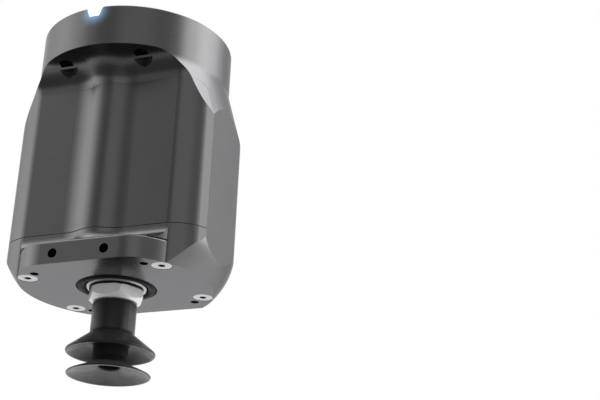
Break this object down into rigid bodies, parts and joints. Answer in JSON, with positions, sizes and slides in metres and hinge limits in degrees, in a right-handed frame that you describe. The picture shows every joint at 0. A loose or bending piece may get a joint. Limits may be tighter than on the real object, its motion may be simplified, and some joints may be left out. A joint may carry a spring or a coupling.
{
  "type": "electric vacuum gripper with suction cup",
  "caption": "Compact electric vacuum gripper: round flange on top, rounded metal body with a front recess, and a black bellows suction cup on a hexagonal fitting below.",
  "frame": {"origin": "centre of the round mounting face on top of the gripper", "axes": "+Z out of the mounting face, away from the cup; -Y towards the sculpted front with the recess and status light; +X to the right seen from behind the front"},
  "size_m": [0.0826, 0.0758, 0.1345],
  "materials": {
    "anodised": "satin dark grey anodised, fine bead-blasted",
    "anodised_base": "satin dark grey anodised, slightly lighter underside",
    "light_window": "translucent light guide, lit cool white",
    "circuit_board": "green solder mask with dark chips",
    "steel": "machined",
    "bright_steel": "bright, with hex sockets",
    "plated_steel": "zinc plated, pressed",
    "turned_metal": "turned bright, fine lathe lines",
    "laminations": "stacked laminations",
    "copper": "enamelled copper winding",
    "brass": "machined",
    "gold": "gold plated contacts",
    "black_plastic": "moulded, matte",
    "white_plastic": "moulded acetal",
    "seal_rubber": "black, slight sheen",
    "cup_rubber": "black, satin moulded",
    "hose": "soft dark tube",
    "cable": "sheathed cable"
  },
  "bodies": {
    "body": {"housing": "anodised", "front_cover": "anodised", "base_manifold": "anodised_base", "top_lid": "anodised", "status_light_window": "light_window", "light_board": "circuit_board", "cover_screws": "steel", "base_screws": "bright_steel", "lid_screws": "steel", "contact_block": "black_plastic", "interface_board": "circuit_board", "interface_board_screws": "steel", "interface_cable": "cable", "control_board": "circuit_board", "board_standoffs": "brass", "board_screws": "steel", "port_seal_ring": "seal_rubber", "port_collar": "turned_metal", "fitting_seal_washer": "seal_rubber", "hex_fitting": "turned_metal", "inlet_filter_screen": "steel", "filter_retaining_ring": "steel", "suction_cup_bellows": "cup_rubber", "motor_can": "plated_steel", "motor_end_bell": "black_plastic", "motor_bearings": "steel", "motor_stator": "laminations", "pump_body": "white_plastic", "pump_cover": "black_plastic", "diaphragm": "seal_rubber", "valve_plate": "black_plastic", "flap_valves": "seal_rubber", "pump_head": "black_plastic", "pump_head_screws": "steel", "pump_mounts": "seal_rubber", "suction_hose": "hose", "exhaust_hose": "hose", "exhaust_muffler": "brass", "vacuum_block": "turned_metal", "block_seal": "seal_rubber", "block_screws": "steel", "check_valve_cap": "brass", "check_valve_spring": "steel", "release_valve_body": "plated_steel", "release_valve_coil": "copper", "release_valve_tube": "brass", "release_valve_core": "steel", "release_valve_spring": "steel", "pressure_sensor": "black_plastic"},
    "cup_lip": {"suction_cup_lip": "cup_rubber"},
    "pump_rotor": {"motor_rotor": "laminations", "motor_shaft": "steel", "crank_eccentric": "steel", "crank_bearing": "steel"},
    "pump_rod": {"connecting_rod": "white_plastic"},
    "release_plunger": {"release_valve_plunger": "steel", "release_valve_seal": "seal_rubber"},
    "check_poppet": {"check_valve_poppet": "white_plastic"},
    "contacts": {"contact_pins": "gold"}
  },
  "joints": [
    {"name": "cup_press", "type": "slide", "parent": "body", "child": "cup_lip", "axis": [0, 0, 1], "range_m": [0, 0.008], "stiffness_N_per_m": 400, "deforming": ["suction_cup_bellows"]},
    {"name": "pump_spin", "type": "hinge", "parent": "body", "child": "pump_rotor", "pos_m": [0, 0.007, -0.042], "axis": [1, 0, 0], "continuous": true},
    {"name": "rod_stroke", "type": "slide", "parent": "body", "child": "pump_rod", "axis": [0, 0, 1], "range_m": [-0.0008, 0.0008], "deforming": ["diaphragm"]},
    {"name": "release_lift", "type": "slide", "parent": "body", "child": "release_plunger", "axis": [0, 0, 1], "range_m": [0, 0.0012], "stiffness_N_per_m": 800, "deforming": ["release_valve_spring"]},
    {"name": "check_lift", "type": "slide", "parent": "body", "child": "check_poppet", "axis": [0, 0, 1], "range_m": [0, 0.0015], "stiffness_N_per_m": 100, "deforming": ["check_valve_spring"]},
    {"name": "contact_travel", "type": "slide", "parent": "body", "child": "contacts", "axis": [0, 0, -1], "range_m": [0, 0.0008], "stiffness_N_per_m": 1000}
  ]
}
